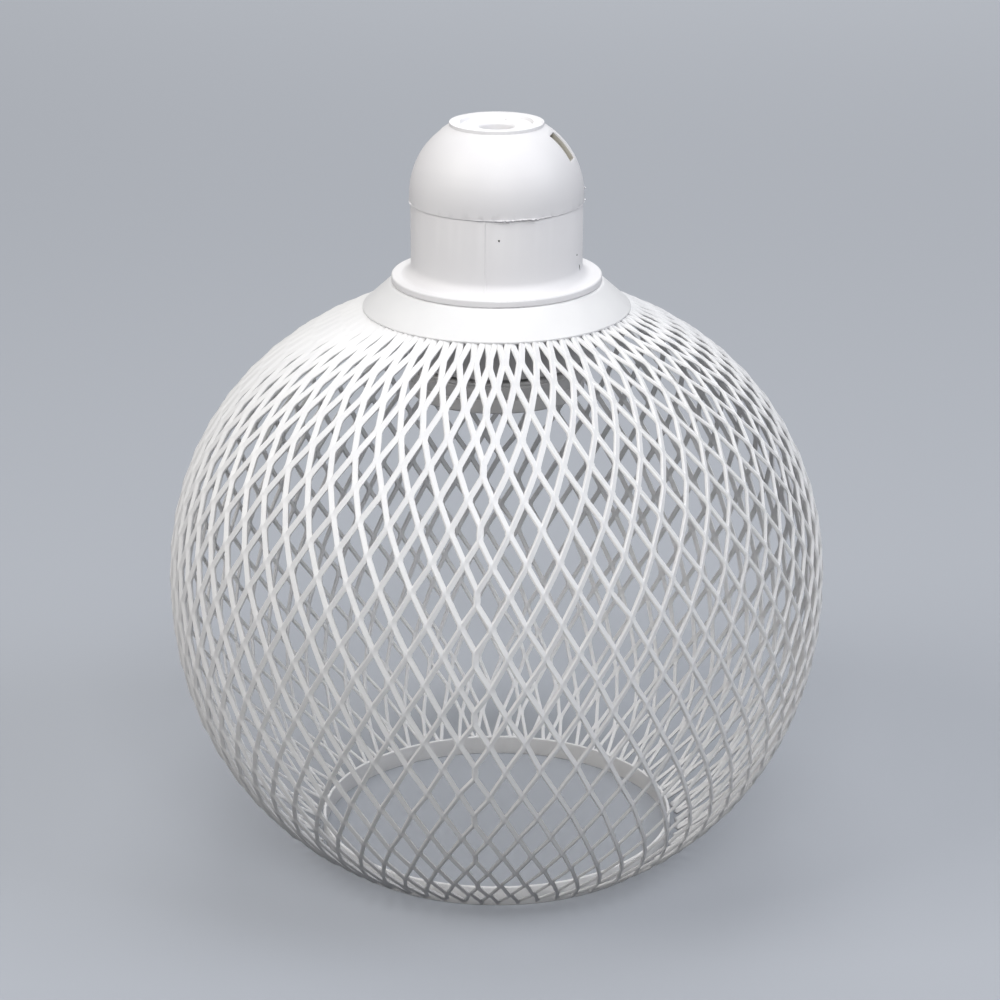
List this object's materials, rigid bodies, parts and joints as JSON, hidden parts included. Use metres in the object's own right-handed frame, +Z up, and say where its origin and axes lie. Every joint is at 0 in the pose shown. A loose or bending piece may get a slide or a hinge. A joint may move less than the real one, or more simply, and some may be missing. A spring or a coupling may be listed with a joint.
{
  "type": "mesh lampshade",
  "caption": "Globe lampshade of white expanded-metal mesh with a coned collar, a strip ring round its open mouth and a moulded screw-shell lampholder on top.",
  "frame": {"origin": "middle of the lampshade's open mouth, on the plane that its lower ring stands on", "axes": "+Z up along the globe's axis towards the cable entry; +X to the right and +Y away from the camera in the picture"},
  "size_m": [0.1818, 0.1818, 0.2065],
  "materials": {
    "mesh_enamel": "white satin powder coat over drawn expanded steel",
    "ring_enamel": "white satin powder coat",
    "collar_enamel": "white satin powder coat",
    "holder_plastic": "white moulded thermoplastic with a soft gloss",
    "ring_plastic": "white moulded thermoplastic with a soft gloss",
    "block_ceramic": "unglazed off-white insulating ceramic",
    "contact_metal": "plain pressed brass",
    "screw_steel": "zinc-plated steel"
  },
  "bodies": {
    "root": {"mesh_globe": "mesh_enamel", "mouth_ring": "ring_enamel", "collar": "collar_enamel", "holder_body": "holder_plastic", "holder_cap": "holder_plastic", "shade_ring": "ring_plastic", "end_ring": "ring_plastic", "contact_block": "block_ceramic", "screw_shell": "contact_metal", "centre_contact": "contact_metal", "line_terminal": "contact_metal", "neutral_terminal": "contact_metal", "terminal_screws": "screw_steel", "contact_rivets": "contact_metal"}
  },
  "joints": []
}
